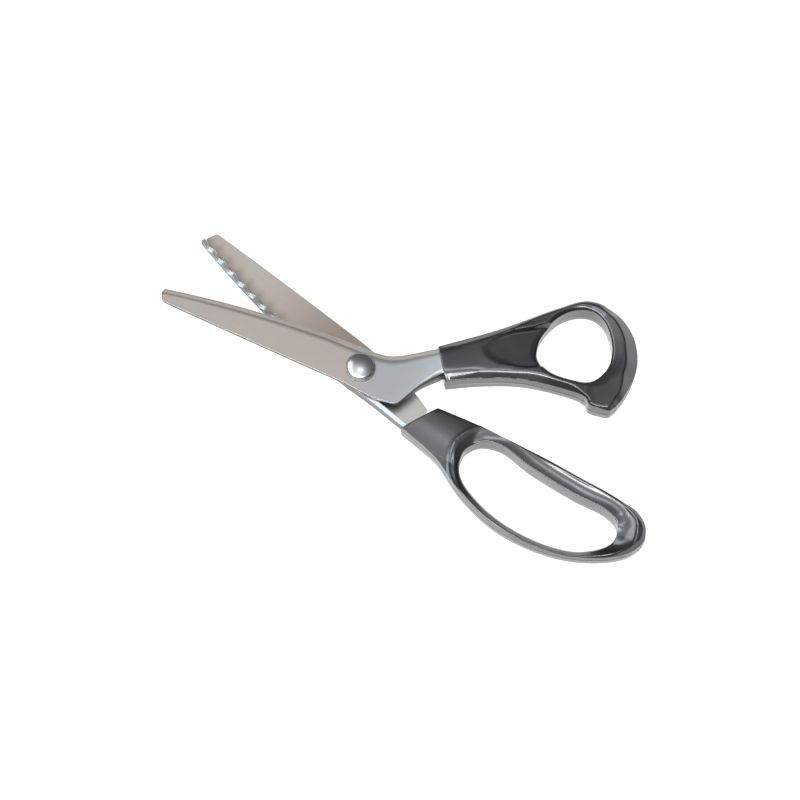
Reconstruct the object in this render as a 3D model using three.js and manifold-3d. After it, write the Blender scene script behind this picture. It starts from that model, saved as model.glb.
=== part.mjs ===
// Pinking shears: two formed sheet-steel halves with zigzag cutting rims, moulded
// plastic handles on their tangs, and the bolt, nut and rings of the pivot.
// Millimetres, +Z up. The origin is on the pivot axis at the nut's flat bottom face,
// +X points to the tip of the rear blade, and +Z is the domed side of the bolt.
import * as THREE from 'three';
import { mergeVertices } from 'three/addons/utils/BufferGeometryUtils.js';
import Module from 'manifold-3d';

const wasm = await Module();
wasm.setup();

// ---- driving dimensions ----
const openAngle = 17.15;     // degrees between the halves as they lie, 0 is closed
const handleHeight = 14;     // both handles, from the table up
const midHeight = handleHeight / 2;
const sheet = 2;             // thickness of the formed steel
const bladeDepth = 4.75;     // outer face of each sheet from the middle of the zigzag
const floorBottom = midHeight - bladeDepth;
const floorTop = floorBottom + sheet;
const bendRadius = 2.4;      // outside of the bend between sheet and flange
const plainWall = 6.85;      // height of the flange where it has no teeth
const plainRim = floorBottom + plainWall;
const tipRadius = 92.3;      // cutting corner of the tip from the pivot axis
const cutBulge = 8.8;        // cutting line's distance from the pivot axis
const toothPitch = 6.95;
const toothRise = 1.5;       // crest above the middle of the zigzag
const rimGap = 0.3;          // between the two zigzags, up and down
const firstTooth = 22;       // nearest tooth to the pivot axis
const crestRadius = 50.1;    // one crest of the rear blade, from the pivot axis
const fit = 0.35;            // gap between moulded plastic and steel
const shoulderRadius = 3;    // barrel of the pivot nut
const holeRadius = 3.09;     // pivot holes and rings
const edgeRound = 2;         // rounding of the handles' outer edges
const coveWidth = 3;         // dished slope round the bows' holes
const coveDepth = 4.5;
const postRadius = 1.6;      // plastic posts through the tang holes
const postHoleRadius = 2;
const stackGap = 0.2;        // between the rings and sheets of the pivot
const headGap = 0.15;        // under and over the washer of the bolt's head
const through = 1;           // how far a cut runs past the faces it opens

const steel = { color: 0xb9aea3, roughness: 0.35, metalness: 0.9 };
const polished = { color: 0xd0cfcd, roughness: 0.12, metalness: 1 };
const plastic = { color: 0x242528, roughness: 0.28, metalness: 0 };

// ---- solids ----
function solid(geometry) {
  geometry.deleteAttribute('normal');
  geometry.deleteAttribute('uv');
  const merged = mergeVertices(geometry, 1e-4);
  const triVerts = new Uint32Array(merged.index.array);
  const vertProperties = new Float32Array(merged.attributes.position.array);
  let body = new wasm.Manifold(new wasm.Mesh({ numProp: 3, vertProperties, triVerts }));
  if (body.volume() < 0) {
    for (let i = 0; i < triVerts.length; i += 3) {
      [triVerts[i], triVerts[i + 1]] = [triVerts[i + 1], triVerts[i]];
    }
    body = new wasm.Manifold(new wasm.Mesh({ numProp: 3, vertProperties, triVerts }));
  }
  return body;
}

function meshOf(body, name, look) {
  const result = body.getMesh();
  const geometry = new THREE.BufferGeometry();
  geometry.setAttribute('position', new THREE.BufferAttribute(result.vertProperties, 3));
  geometry.setIndex(new THREE.BufferAttribute(result.triVerts, 1));
  geometry.computeVertexNormals();
  const mesh = new THREE.Mesh(geometry, new THREE.MeshStandardMaterial(look));
  mesh.name = name;
  return mesh;
}

// A straight-walled plate of a flat shape between two heights.
function plate(shape, low, high, round = 0) {
  const geometry = new THREE.ExtrudeGeometry(shape, {
    depth: high - low - 2 * round,
    bevelEnabled: round > 0,
    bevelThickness: round,
    bevelSize: round,
    bevelOffset: -round,
    bevelSegments: 3,
    curveSegments: 6,
  });
  geometry.translate(0, 0, low + round);
  return solid(geometry);
}

// A turned piece round the pivot axis, from [radius, height] points.
function turned(points, segments = 48) {
  const profile = points.map(([radius, height]) => new THREE.Vector2(radius, height));
  const geometry = new THREE.LatheGeometry(profile, segments);
  geometry.rotateX(Math.PI / 2);
  return solid(geometry);
}

function ring(inner, outer, low, high) {
  return turned([[inner, low], [outer, low], [outer, high], [inner, high], [inner, low]]);
}

function vectors(points) {
  return points.map(([x, y]) => new THREE.Vector2(x, y));
}

function polygon(points) {
  return new THREE.Shape(points);
}

// A smooth closed outline through a few points, as a polyline.
function smoothLoop(points, samples) {
  const knots = points.map(([x, y]) => new THREE.Vector3(x, y, 0));
  const curve = new THREE.CatmullRomCurve3(knots, true, 'centripetal');
  return curve.getSpacedPoints(samples).slice(0, -1).map((p) => new THREE.Vector2(p.x, p.y));
}

function smoothLine(points, samples) {
  const knots = points.map(([x, y]) => new THREE.Vector3(x, y, 0));
  const curve = new THREE.CatmullRomCurve3(knots, false, 'centripetal');
  return curve.getSpacedPoints(samples).map((p) => new THREE.Vector2(p.x, p.y));
}

// The same line moved sideways, to the left of its direction.
function shifted(line, distance) {
  return line.map((point, i) => {
    const before = line[Math.max(i - 1, 0)];
    const after = line[Math.min(i + 1, line.length - 1)];
    const along = new THREE.Vector2().subVectors(after, before).normalize();
    return new THREE.Vector2(point.x - along.y * distance, point.y + along.x * distance);
  });
}

// ---- formed steel halves ----
// Both are drawn with the sheet at the bottom, the flange up and the cutting side at +Y.

// The cutting line from the tip to the pivot: a shallow arc, tipDrop below the X axis at the tip.
function cuttingArc(tipDrop) {
  const steps = 12;
  const line = [];
  for (let i = 0; i < steps; i += 1) {
    const x = tipRadius * (1 - i / steps);
    const y = cutBulge - (cutBulge + tipDrop) * (x / tipRadius) ** 2;
    line.push(new THREE.Vector2(x, y));
  }
  return line;
}

// Everything above the zigzag rim, on the blade's side of the pivot.
function rimCutter(crest) {
  const above = 30;
  const reach = 120;
  const low = midHeight - toothRise - rimGap / 2;
  const high = midHeight + toothRise - rimGap / 2;
  const firstCrest = crest - toothPitch * Math.floor((crest - firstTooth) / toothPitch);
  const profile = [[0, plainRim], [firstCrest - 1.5 * toothPitch, plainRim]];
  for (let radius = firstCrest; radius < tipRadius + toothPitch; radius += toothPitch) {
    profile.push([radius - toothPitch / 2, low]);
    profile.push([radius, high]);
  }
  profile.push([profile.at(-1)[0], above], [0, above]);
  const side = new THREE.BoxGeometry(reach, reach, reach);
  side.translate(reach / 2, 0, 0);
  return turned(profile, 96).intersect(solid(side));
}

// What the bend takes off the sheet's outer corner, swept along the flange.
function bendCutter(line) {
  const section = new THREE.Shape();
  section.moveTo(through - floorBottom, -through);
  section.lineTo(through - floorBottom, bendRadius);
  section.lineTo(-floorBottom, bendRadius);
  section.absarc(-floorBottom - bendRadius, bendRadius, bendRadius, 0, -Math.PI / 2, true);
  section.lineTo(-floorBottom - bendRadius, -through);
  const path = new THREE.CatmullRomCurve3(line.map((p) => new THREE.Vector3(p.x, p.y, 0)));
  const steps = 2 * line.length;
  return solid(new THREE.ExtrudeGeometry(section, { steps, extrudePath: path, curveSegments: 4 }));
}

// The tang that the handle is moulded onto. The mouth is the handle's open end.
function tangOutline(mouth, margin) {
  const width = mouth.halfWidth + margin;
  const half = [[-4, width], [1.5, width], [5, width - 2.2], [mouth.depth + margin, width - 2.6]];
  const other = half.map(([u, v]) => [u, -v]).reverse();
  return [...half, ...other].map(([u, v]) => mouthPoint(mouth, u, v));
}

// A point u into the handle and v across it, from the middle of its mouth.
function mouthPoint(mouth, u, v) {
  const [x, y] = mouth.middle;
  const turn = THREE.MathUtils.degToRad(mouth.heading);
  return new THREE.Vector2(
    x + u * Math.cos(turn) + v * Math.sin(turn),
    y + u * Math.sin(turn) - v * Math.cos(turn),
  );
}

function posts(mouth, radius, low, high) {
  return [8.5, mouth.depth - 3].map((u) => {
    const place = mouthPoint(mouth, u, 0);
    const geometry = new THREE.CylinderGeometry(radius, radius, high - low, 20);
    geometry.rotateX(Math.PI / 2);
    geometry.translate(place.x, place.y, (low + high) / 2);
    return solid(geometry);
  });
}

function formedHalf({ tipDrop, shankLine, backLine, mouth, crest, lip }) {
  const flangeLine = [...cuttingArc(tipDrop), ...shankLine];
  let body = plate(polygon([...flangeLine, ...backLine]), floorBottom, floorTop);
  body = body.add(plate(polygon(tangOutline(mouth, 0)), floorBottom, floorTop));
  const wall = [...flangeLine, ...shifted(flangeLine, sheet).reverse()];
  const rim = plate(polygon(wall), floorBottom, plainRim);
  body = body.add(rim.subtract(rimCutter(crest)));
  body = body.subtract(bendCutter(flangeLine));
  if (lip) {
    const lipWall = [...lip, ...shifted(lip, sheet).reverse()];
    body = body.add(plate(polygon(lipWall), floorBottom, plainRim));
  }
  for (const hole of posts(mouth, postHoleRadius, floorBottom - through, floorTop + through)) {
    body = body.subtract(hole);
  }
  const low = floorBottom - through;
  const high = plainRim + through;
  const pivotHole = turned([[0, low], [holeRadius, low], [holeRadius, high], [0, high]]);
  return body.subtract(pivotHole);
}

const rearMouth = { middle: [-33.6, 1.05], heading: 180, halfWidth: 6.7, depth: 17 };
const frontMouth = { middle: [-30.6, 15.2], heading: 144.5, halfWidth: 6.2, depth: 15 };

function rearBlade() {
  const shankLine = smoothLine([[0, cutBulge], [-12, 8.1], [-30.2, 8]], 6);
  const backLine = smoothLine(
    [[-30.2, -6.6], [-24.7, -8], [-12, -10.4], [3, -11.2], [25, -10.9], [60, -9.8], [89.4, -8.6]],
    16,
  );
  const tipEnd = vectors([[90.3, -8.2], [90.8, -7.3], [91.7, -3.6], [92.4, -2.9]]);
  return formedHalf({
    tipDrop: 0.5,
    shankLine,
    backLine: [...backLine, ...tipEnd],
    mouth: rearMouth,
    crest: crestRadius,
  });
}

// The front half is drawn like the rear one and then turned over.
function frontBlade() {
  const shankLine = smoothLine(
    [[0, cutBulge], [-8.4, 9.8], [-13.3, 11.9], [-20.4, 16.8], [-25.4, 20.3]],
    12,
  );
  const lip = smoothLine([[-33, 10.6], [-29.5, 6.2], [-25.6, 0.4]], 4);
  const backLine = [
    ...lip,
    ...smoothLine([[-24.1, -2.4], [-21.9, -6.6], [-20.6, -8.6], [-19.2, -9.5], [-17, -9.9]], 8),
    ...smoothLine([[-9, -10.3], [5, -9.1], [25, -8.4], [63, -7], [88, -6]], 12),
    ...smoothLine([[90.6, -5.7], [92.2, -4.4], [92.8, -2.6], [92.6, -1]], 6),
  ];
  return formedHalf({
    tipDrop: 0,
    shankLine,
    backLine,
    lip,
    mouth: frontMouth,
    crest: crestRadius + toothPitch / 2,
  });
}

// ---- handles ----
// A bow: the outline with a rounded edge, its hole flared by a cove on both faces.
function bow(outline, hole) {
  let body = plate(polygon(outline), 0, handleHeight, edgeRound);
  body = body.subtract(plate(polygon(hole), -through, handleHeight + through));
  const cove = new THREE.ExtrudeGeometry(polygon(hole), {
    depth: through,
    bevelThickness: coveDepth,
    bevelSize: coveWidth,
    bevelSegments: 3,
  });
  const upper = cove.clone();
  upper.translate(0, 0, handleHeight);
  cove.translate(0, 0, -through);
  return body.subtract(solid(upper)).subtract(solid(cove));
}

// The pocket that the tang fills, and the plastic posts that lock it.
function withPocket(body, mouth) {
  const low = floorBottom - fit;
  const high = floorTop + fit;
  let result = body.subtract(plate(polygon(tangOutline(mouth, fit)), low, high));
  for (const post of posts(mouth, postRadius, low - through / 2, high + through / 2)) {
    result = result.add(post);
  }
  return result;
}

function fingerHandle() {
  const mouthCorner = vectors([[-30.4, 9.3]]);
  const upper = smoothLine(
    [[-36.8, -7.3], [-60, -14.1], [-92, -20.9], [-123.4, -26.2], [-131, -26.7], [-137, -24.4],
      [-140.6, -19], [-139.6, -12], [-134.6, -4.4], [-122, 6], [-107, 13], [-88, 17], [-68, 15.4],
      [-51, 10.2], [-43, 9.4], [-36, 9.3]],
    72,
  );
  const hole = smoothLoop(
    [[-57.6, 0], [-60.2, -7.6], [-68, -12], [-84, -12.6], [-104, -15.2], [-120.5, -18.6],
      [-127.6, -17], [-130.4, -10.4], [-123, 0.6], [-111, 7.8], [-93, 12.6], [-76, 12.6], [-62.6, 8.4]],
    56,
  );
  return withPocket(bow([...mouthCorner, ...upper], hole), rearMouth);
}

// The shallow hollow beside the thumb's hole, in the face that lies up.
function thumbScoop() {
  const length = 19;
  const width = 10.5;
  const depth = 3.4;
  const scoop = new THREE.SphereGeometry(1, 32, 16);
  scoop.scale(length, width, depth);
  scoop.rotateZ(THREE.MathUtils.degToRad(146));
  scoop.translate(-62, 38.5, -0.6);
  return solid(scoop);
}

// Drawn turned over, like the front half's steel.
function thumbHandle() {
  const outer = smoothLine(
    [[-35.3, 8.5], [-49, 15.8], [-64.9, 22.1], [-82, 25.2], [-90.5, 25.6], [-94.9, 24.2], [-97.6, 23],
      [-103.2, 23.6], [-106.8, 25.2], [-108.4, 31], [-109, 40], [-107.4, 51], [-101.4, 61.4], [-93, 66.8],
      [-84, 68.2], [-76.5, 66.5], [-67.6, 59.5], [-47.7, 40], [-26.2, 21.9]],
    84,
  );
  const hole = smoothLoop(
    [[-65.6, 39], [-65.4, 45], [-69.2, 55.4], [-75, 61], [-81.5, 63], [-88.4, 60.4], [-95.6, 50.4],
      [-96.8, 41], [-92.5, 33], [-84, 30.4], [-74, 30.4], [-67.8, 34]],
    48,
  );
  return withPocket(bow(outer, hole).subtract(thumbScoop()), frontMouth);
}

// ---- pivot ----
const stackTop = handleHeight - floorBottom;   // outer face of the front sheet
const washerBottom = stackTop + headGap;
const washerTop = washerBottom + 0.55;
const washerRadius = 6.5;
const headRadius = 5.8;
const nutRadius = 6;
const spacerRadius = 5.4;
const springRadius = 5.6;
const boreBottom = 3;          // of the nut's threaded bore

// The domed screw that threads into the barrel nut.
function pivotBolt() {
  const rise = 2.4;
  const shankRadius = 1.95;
  const rimHeight = 0.3;
  const chamfer = 0.3;
  const headBottom = washerTop + headGap;
  const domeRadius = (headRadius ** 2 + rise ** 2) / (2 * rise);
  const domeTop = headBottom + rimHeight + rise;
  const end = boreBottom + 0.4;
  const profile = [[0, end], [shankRadius - chamfer, end], [shankRadius, end + chamfer]];
  profile.push([shankRadius, headBottom], [headRadius, headBottom]);
  const steps = 8;
  for (let i = 0; i <= steps; i += 1) {
    const reach = Math.asin(headRadius / domeRadius) * (1 - i / steps);
    profile.push([domeRadius * Math.sin(reach), domeTop - domeRadius * (1 - Math.cos(reach))]);
  }
  return turned(profile);
}

// A flat flange below the rear sheet and a threaded barrel through both halves.
function pivotNut() {
  const flangeTop = floorBottom - headGap;
  const boreRadius = 2.15;
  const barrelTop = washerTop - 0.1;
  const chamfer = 0.3;
  const spannerRadius = 0.8;
  const spannerDepth = 1;
  const spannerPlace = 3.9;
  let body = turned([[0, 0], [nutRadius - chamfer, 0], [nutRadius, chamfer], [nutRadius, flangeTop],
    [shoulderRadius, flangeTop], [shoulderRadius, barrelTop], [boreRadius, barrelTop],
    [boreRadius, boreBottom], [0, boreBottom]]);
  for (const side of [-1, 1]) {
    const hole = new THREE.CylinderGeometry(spannerRadius, spannerRadius, 2 * spannerDepth, 16);
    hole.rotateX(Math.PI / 2);
    hole.translate(spannerPlace * side, 0, 0);
    body = body.subtract(solid(hole));
  }
  return body;
}

const spacerBottom = floorTop + stackGap;
const spacerTop = spacerBottom + 4.1;
const spacerBush = () => ring(holeRadius, spacerRadius, spacerBottom, spacerTop);

// A dished ring that takes up the play between the sheets.
function springWasher() {
  const inner = spacerTop + stackGap;
  const outer = inner + 0.4;
  const thick = 0.35;
  return turned([[holeRadius, inner], [springRadius, outer], [springRadius, outer + thick],
    [holeRadius, inner + thick], [holeRadius, inner]]);
}

const headWasher = () => ring(holeRadius, washerRadius, washerBottom, washerTop);

// ---- assembly ----
const shears = new THREE.Group();
shears.add(meshOf(rearBlade(), 'rear_blade', steel));
shears.add(meshOf(fingerHandle(), 'finger_handle', plastic));
shears.add(meshOf(pivotNut(), 'pivot_nut', polished));
shears.add(meshOf(spacerBush(), 'spacer_bush', steel));
shears.add(meshOf(springWasher(), 'spring_washer', polished));
shears.add(meshOf(headWasher(), 'head_washer', polished));
shears.add(meshOf(pivotBolt(), 'pivot_bolt', polished));

const frontHalf = new THREE.Group();
frontHalf.add(meshOf(frontBlade(), 'front_blade', steel));
frontHalf.add(meshOf(thumbHandle(), 'thumb_handle', plastic));
frontHalf.rotation.x = Math.PI;
frontHalf.position.z = handleHeight;

const swing = new THREE.Group();
swing.add(frontHalf);
swing.rotation.z = THREE.MathUtils.degToRad(openAngle);
shears.add(swing);

export default shears;
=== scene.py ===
import math

import bmesh
import bpy
import numpy as np
from mathutils import Matrix, Vector


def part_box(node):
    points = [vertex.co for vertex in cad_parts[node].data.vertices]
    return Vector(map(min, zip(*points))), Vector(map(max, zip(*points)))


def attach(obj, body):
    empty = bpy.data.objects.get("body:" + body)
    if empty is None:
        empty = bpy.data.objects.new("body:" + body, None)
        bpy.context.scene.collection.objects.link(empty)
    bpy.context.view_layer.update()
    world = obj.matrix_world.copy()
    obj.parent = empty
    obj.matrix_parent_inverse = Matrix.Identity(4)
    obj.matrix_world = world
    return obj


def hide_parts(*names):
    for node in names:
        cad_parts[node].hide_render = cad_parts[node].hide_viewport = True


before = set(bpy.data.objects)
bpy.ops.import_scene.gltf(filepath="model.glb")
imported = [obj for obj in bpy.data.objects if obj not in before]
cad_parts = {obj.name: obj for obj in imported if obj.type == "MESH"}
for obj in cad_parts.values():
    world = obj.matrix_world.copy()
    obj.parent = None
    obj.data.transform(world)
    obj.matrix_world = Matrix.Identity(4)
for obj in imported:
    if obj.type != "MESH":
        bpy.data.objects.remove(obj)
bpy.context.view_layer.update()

# ---- driving dimensions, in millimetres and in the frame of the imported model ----
MM = 0.001
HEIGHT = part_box("finger_handle")[1].z / MM      # both handles, from the table up
MIDDLE = HEIGHT / 2
TIP_RADIUS = 92.3         # cutting corner of the tips from the pivot axis
OPEN_DEG = 17.15          # angle between the halves at rest
SHEET = 2.0               # thickness of the formed steel
BLADE_DEPTH = 4.75        # outer face of each sheet from the middle of the zigzag
FLOOR_LOW = MIDDLE - BLADE_DEPTH
FLOOR_HIGH = FLOOR_LOW + SHEET
BEND_RADIUS = 2.4
BAND_DROP = 0.24          # depth of the narrow flat beside the flange's outer bend
EDGE_ROUND = 0.85         # rounding between that flat and the outer wall
FILLET = 0.5              # inside of the bends
PLAIN_RIM = FLOOR_LOW + 6.85
CUT_BULGE = 8.8           # cutting line's distance from the pivot axis
REAR_TIP_DROP = 0.5       # how far the rear blade's cutting line ends past the middle
PITCH = 6.95              # one tooth
RISE = 1.5                # crest above the middle of the zigzag
RIM_GAP = 0.3             # between the two zigzags, up and down
CREST_RADIUS = 50.1       # one crest of the rear blade, from the pivot axis
FIRST_TOOTH = 22.0        # nearest tooth to the pivot axis
BURR = 0.18               # broken edges of the steel
HOLE_RADIUS = 3.09
OUTLINE_STEP = 0.25       # spacing of the points along the steel's outlines


# ---- lines in the plane ----
def spline(points, closed=False, step=0.4):
    """A centripetal Catmull-Rom curve through the points, evenly spaced."""
    knots = [np.array(p, float) for p in points]
    if closed:
        knots = [knots[-1]] + knots + knots[:2]
    else:
        knots = [2 * knots[0] - knots[1]] + knots + [2 * knots[-1] - knots[-2]]
    dense = []
    for a, b, c, d in zip(knots, knots[1:], knots[2:], knots[3:]):
        t1 = max(np.linalg.norm(b - a), 1e-9) ** 0.5
        t2 = t1 + max(np.linalg.norm(c - b), 1e-9) ** 0.5
        t3 = t2 + max(np.linalg.norm(d - c), 1e-9) ** 0.5
        for t in np.linspace(t1, t2, 24, endpoint=False):
            ab = a + (b - a) * t / t1
            bc = b + (c - b) * (t - t1) / (t2 - t1)
            cd = c + (d - c) * (t - t2) / (t3 - t2)
            abc = ab + (bc - ab) * t / t2
            bcd = bc + (cd - bc) * (t - t1) / (t3 - t1)
            dense.append(abc + (bcd - abc) * (t - t1) / (t2 - t1))
    dense.append(knots[1] if closed else knots[-2])
    return evenly(np.array(dense), step)


def lengths(line):
    steps = np.linalg.norm(np.diff(line, axis=0), axis=1)
    return np.concatenate([[0.0], np.cumsum(steps)])


def point_at(line, along, distance):
    x = np.interp(distance, along, line[:, 0])
    y = np.interp(distance, along, line[:, 1])
    return np.stack([x, y], axis=-1)


def evenly(line, step):
    along = lengths(line)
    count = max(2, int(round(along[-1] / step)) + 1)
    return point_at(line, along, np.linspace(0, along[-1], count))


def left_normals(line):
    ahead = np.gradient(line, axis=0)
    ahead /= np.linalg.norm(ahead, axis=1)[:, None]
    return np.stack([-ahead[:, 1], ahead[:, 0]], axis=1)


def ease(x, low, high):
    t = np.clip((x - low) / (high - low), 0, 1)
    return t * t * (3 - 2 * t)


def soft_min(values, softness):
    """The smallest of several heights, with rounded meetings."""
    stack = np.stack(np.broadcast_arrays(*values))
    low = stack.min(axis=0)
    return low - softness * np.log(np.exp(-(stack - low) / softness).sum(axis=0))


# ---- meshes ----
def mesh_object(name, points, faces, sharp_deg=30):
    mesh = bpy.data.meshes.new(name)
    mesh.from_pydata([tuple(p) for p in np.asarray(points) * MM], [], faces)
    bm = bmesh.new()
    bm.from_mesh(mesh)
    bmesh.ops.remove_doubles(bm, verts=bm.verts, dist=2e-6)
    bmesh.ops.delete(bm, geom=[edge for edge in bm.edges if edge.is_wire], context="EDGES")
    bmesh.ops.recalc_face_normals(bm, faces=bm.faces)
    if bm.calc_volume(signed=True) < 0:
        bmesh.ops.reverse_faces(bm, faces=bm.faces)
    bm.to_mesh(mesh)
    bm.free()
    for polygon in mesh.polygons:
        polygon.use_smooth = True
    mesh.set_sharp_from_angle(angle=math.radians(sharp_deg))
    obj = bpy.data.objects.new(name, mesh)
    bpy.context.collection.objects.link(obj)
    return obj


def rings_to_faces(count, size, closed, caps):
    """Quads between rings of points, closed round or capped at both ends."""
    faces = []
    last = count if closed else count - 1
    for i in range(last):
        a = i * size
        b = (i + 1) % count * size
        for j in range(size):
            k = (j + 1) % size
            faces.append((a + j, a + k, b + k, b + j))
    if caps:
        faces.append(tuple(range(size)))
        faces.append(tuple(range((count - 1) * size, count * size))[::-1])
    return faces


def turned(name, profile, segments=96):
    """A closed [radius, height] profile turned round the pivot axis."""
    rings = []
    for i in range(segments):
        turn = 2 * math.pi * i / segments
        rings += [(r * math.cos(turn), r * math.sin(turn), z) for r, z in profile]
    return mesh_object(name, rings, rings_to_faces(segments, len(profile), True, False))


def close_gaps(mesh):
    """Fills any pinhole that a cut leaves between very thin faces."""
    bm = bmesh.new()
    bm.from_mesh(mesh)
    bmesh.ops.remove_doubles(bm, verts=bm.verts, dist=1e-6)
    bmesh.ops.holes_fill(bm, edges=[edge for edge in bm.edges if edge.is_boundary])
    bm.to_mesh(mesh)
    bm.free()


def bored(obj, radius, x=0.0, y=0.0, reach=40.0):
    """Cuts a round hole up and down, as far as the reach above and below the table."""
    bpy.ops.mesh.primitive_cylinder_add(vertices=96, radius=radius * MM, depth=2 * reach * MM)
    tool = bpy.context.object
    tool.location = (x * MM, y * MM, 0)
    cut = obj.modifiers.new("hole", "BOOLEAN")
    cut.object = tool
    cut.solver = "EXACT"
    graph = bpy.context.evaluated_depsgraph_get()
    old = obj.data
    obj.data = bpy.data.meshes.new_from_object(obj.evaluated_get(graph))
    obj.data.name = obj.name
    obj.modifiers.clear()
    bpy.data.meshes.remove(old)
    bpy.data.objects.remove(tool)
    close_gaps(obj.data)
    obj.data.set_sharp_from_angle(angle=math.radians(30))


def place_front(points, way=1):
    """From the front half's closed place to where it lies at rest, or back."""
    turn = math.radians(OPEN_DEG) * way
    spin = np.array([[math.cos(turn), -math.sin(turn), 0], [math.sin(turn), math.cos(turn), 0], [0, 0, 1]])
    return np.asarray(points) @ spin.T


# ---- formed blades ----
def nearest_crest(crest):
    """Radius of the crest nearest the pivot, from the radius of any other."""
    return crest - PITCH * math.floor((crest - FIRST_TOOTH) / PITCH)


def rim_height(radius, crest):
    """Top of the flange: plain near the pivot, then a zigzag."""
    low = MIDDLE - RISE - RIM_GAP / 2
    first = nearest_crest(crest)
    phase = (radius - first) / PITCH
    wave = 1 - 4 * np.abs(phase - np.round(phase))
    teeth = low + RISE * (1 + np.clip(wave, -0.97, 0.97))
    run_up = PLAIN_RIM + (low - PLAIN_RIM) * (radius - first + 1.5 * PITCH) / PITCH
    return np.where(radius < first - 1.5 * PITCH, PLAIN_RIM,
                    np.where(radius < first - PITCH / 2, run_up, teeth))


def blade_stations(line, along, crest):
    """Distances along the flange: close together at each tooth, even along the shank."""
    radius = np.hypot(line[:, 0], line[:, 1])
    toothed = line[:, 0] > 12
    first = nearest_crest(crest)
    corners = np.arange(first - 1.5 * PITCH, TIP_RADIUS + PITCH, PITCH / 2)
    inside = np.array([0, 0.03, 0.1, 0.25, 0.5, 0.75, 0.9, 0.97]) * PITCH / 2
    radii = (corners[:, None] + inside[None, :]).ravel()
    low, high = radius[toothed].min(), radius[toothed].max()
    radii = np.concatenate([radii[(radii > low) & (radii < high)], [high]])
    places = np.interp(radii, radius[toothed][::-1], along[toothed][::-1])
    start = places.max()
    rest = np.linspace(start, along[-1], int((along[-1] - start) / 0.8))[1:]
    return np.concatenate([np.sort(places), rest])


SUPPORT = 0.15            # an extra row of points that keeps each flat flat
FLOOR_START = 3.1         # first point on the flat, from the outer wall
FLOOR_COLUMNS = (0.1, 0.3, 0.5, 0.7, 0.9)
CREASE = ((2.3, 0), (2.15, 0.05), (2.05, 0.07), (1.1, 0.2), (EDGE_ROUND, BAND_DROP))


def add_flange(add, across, rim):
    """The toothed flange, from the outer wall over the rim and down inside to the flat."""
    add(across(0), rim - BURR)
    add(across(BURR), rim)
    add(across(SHEET / 2), rim)
    add(across(SHEET - BURR), rim)
    add(across(SHEET), rim - BURR)
    for share in (0.3, 0.65):
        add(across(SHEET), rim - BURR + (FLOOR_HIGH + FILLET - rim + BURR) * share)
    for step in range(4):
        turn = math.radians(30 * step)
        add(across(SHEET + FILLET * (1 - math.cos(turn))), FLOOR_HIGH + FILLET * (1 - math.sin(turn)))
    add(across(SHEET + FILLET + SUPPORT), FLOOR_HIGH)


def add_far_edge(add, from_edge, lip):
    """The far edge of the sheet: plain where lip is 0, turned up into a lip where it is 1."""
    lip_top = FLOOR_HIGH + (PLAIN_RIM - FLOOR_HIGH) * lip
    bend = BURR + (BEND_RADIUS - BURR) * lip
    inner = np.maximum(SHEET * lip, BURR * 1.5)
    add(from_edge(inner + FILLET * lip + SUPPORT), FLOOR_HIGH)
    add(from_edge(inner + FILLET * lip), FLOOR_HIGH)
    add(from_edge(inner + FILLET * lip * 0.3), FLOOR_HIGH + FILLET * lip * 0.3)
    add(from_edge(inner), FLOOR_HIGH + FILLET * lip)
    add(from_edge(inner), lip_top - BURR * lip)
    add(from_edge(np.maximum(inner - BURR * lip, BURR)), lip_top)
    add(from_edge(BURR), lip_top)
    add(from_edge(0), lip_top - BURR)
    for step in range(7):
        turn = math.radians(15 * step)
        add(from_edge(bend * (1 - math.cos(turn))), FLOOR_LOW + bend * (1 - math.sin(turn)))
    add(from_edge(bend + SUPPORT), FLOOR_LOW)


def add_outer_bend(add, across, rim):
    """A fine crease, a narrow flat band, the rounded outer bend and the outer wall."""
    for offset, depth in CREASE:
        add(across(offset), FLOOR_LOW + depth)
    for step in range(1, 7):
        turn = math.radians(80 - 80 * step / 6)
        offset = EDGE_ROUND * (1 - math.cos(turn))
        add(across(offset), FLOOR_LOW + BAND_DROP + EDGE_ROUND * (1 - math.sin(turn)))
    for share in (0.35, 0.7):
        add(across(0), FLOOR_LOW + 2 + (rim - BURR - FLOOR_LOW - 2) * share)


def blade_points(flange, back, landmarks, crest, lip_span):
    """Rings round the L-shaped section, from the tip to inside the handle."""
    along = lengths(flange)
    stations = blade_stations(flange, along, crest)
    outer = point_at(flange, along, stations)
    inward = point_at(left_normals(flange), along, stations)
    inward /= np.linalg.norm(inward, axis=1)[:, None]
    pairs = np.array(landmarks, float)
    far = point_at(back, lengths(back), np.interp(stations, pairs[:, 0], pairs[:, 1]))
    radius = np.hypot(outer[:, 0], outer[:, 1])
    arc = ease(outer[:, 0], 10, 20)

    def across(offset):
        p = outer + inward * offset
        scale = 1 + arc * (radius / np.hypot(p[:, 0], p[:, 1]) - 1)
        return p * scale[:, None]

    near = across(FLOOR_START)
    span = far - near
    width = np.linalg.norm(span, axis=1)
    toward = span / width[:, None]
    usable = width - SHEET - FILLET - 0.1
    rim = np.where(outer[:, 0] > 0, rim_height(radius, crest), PLAIN_RIM)
    if lip_span is None:
        lip = np.zeros(len(stations))
    else:
        lip = np.clip((stations - lip_span[0]) / (lip_span[1] - lip_span[0]), 0, 1)
    rows = []

    def add(plan, height):
        rows.append(np.column_stack([plan, np.broadcast_to(height, len(plan))]))

    def from_edge(offset):
        return far - toward * np.broadcast_to(offset, len(stations))[:, None]

    add_flange(add, across, rim)
    for share in FLOOR_COLUMNS:
        add(near + toward * (usable * share)[:, None], FLOOR_HIGH)
    add_far_edge(add, from_edge, lip)
    for share in FLOOR_COLUMNS[::-1]:
        add(near + toward * (usable * share)[:, None], FLOOR_LOW)
    add_outer_bend(add, across, rim)
    return np.stack(rows, axis=1)


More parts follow.
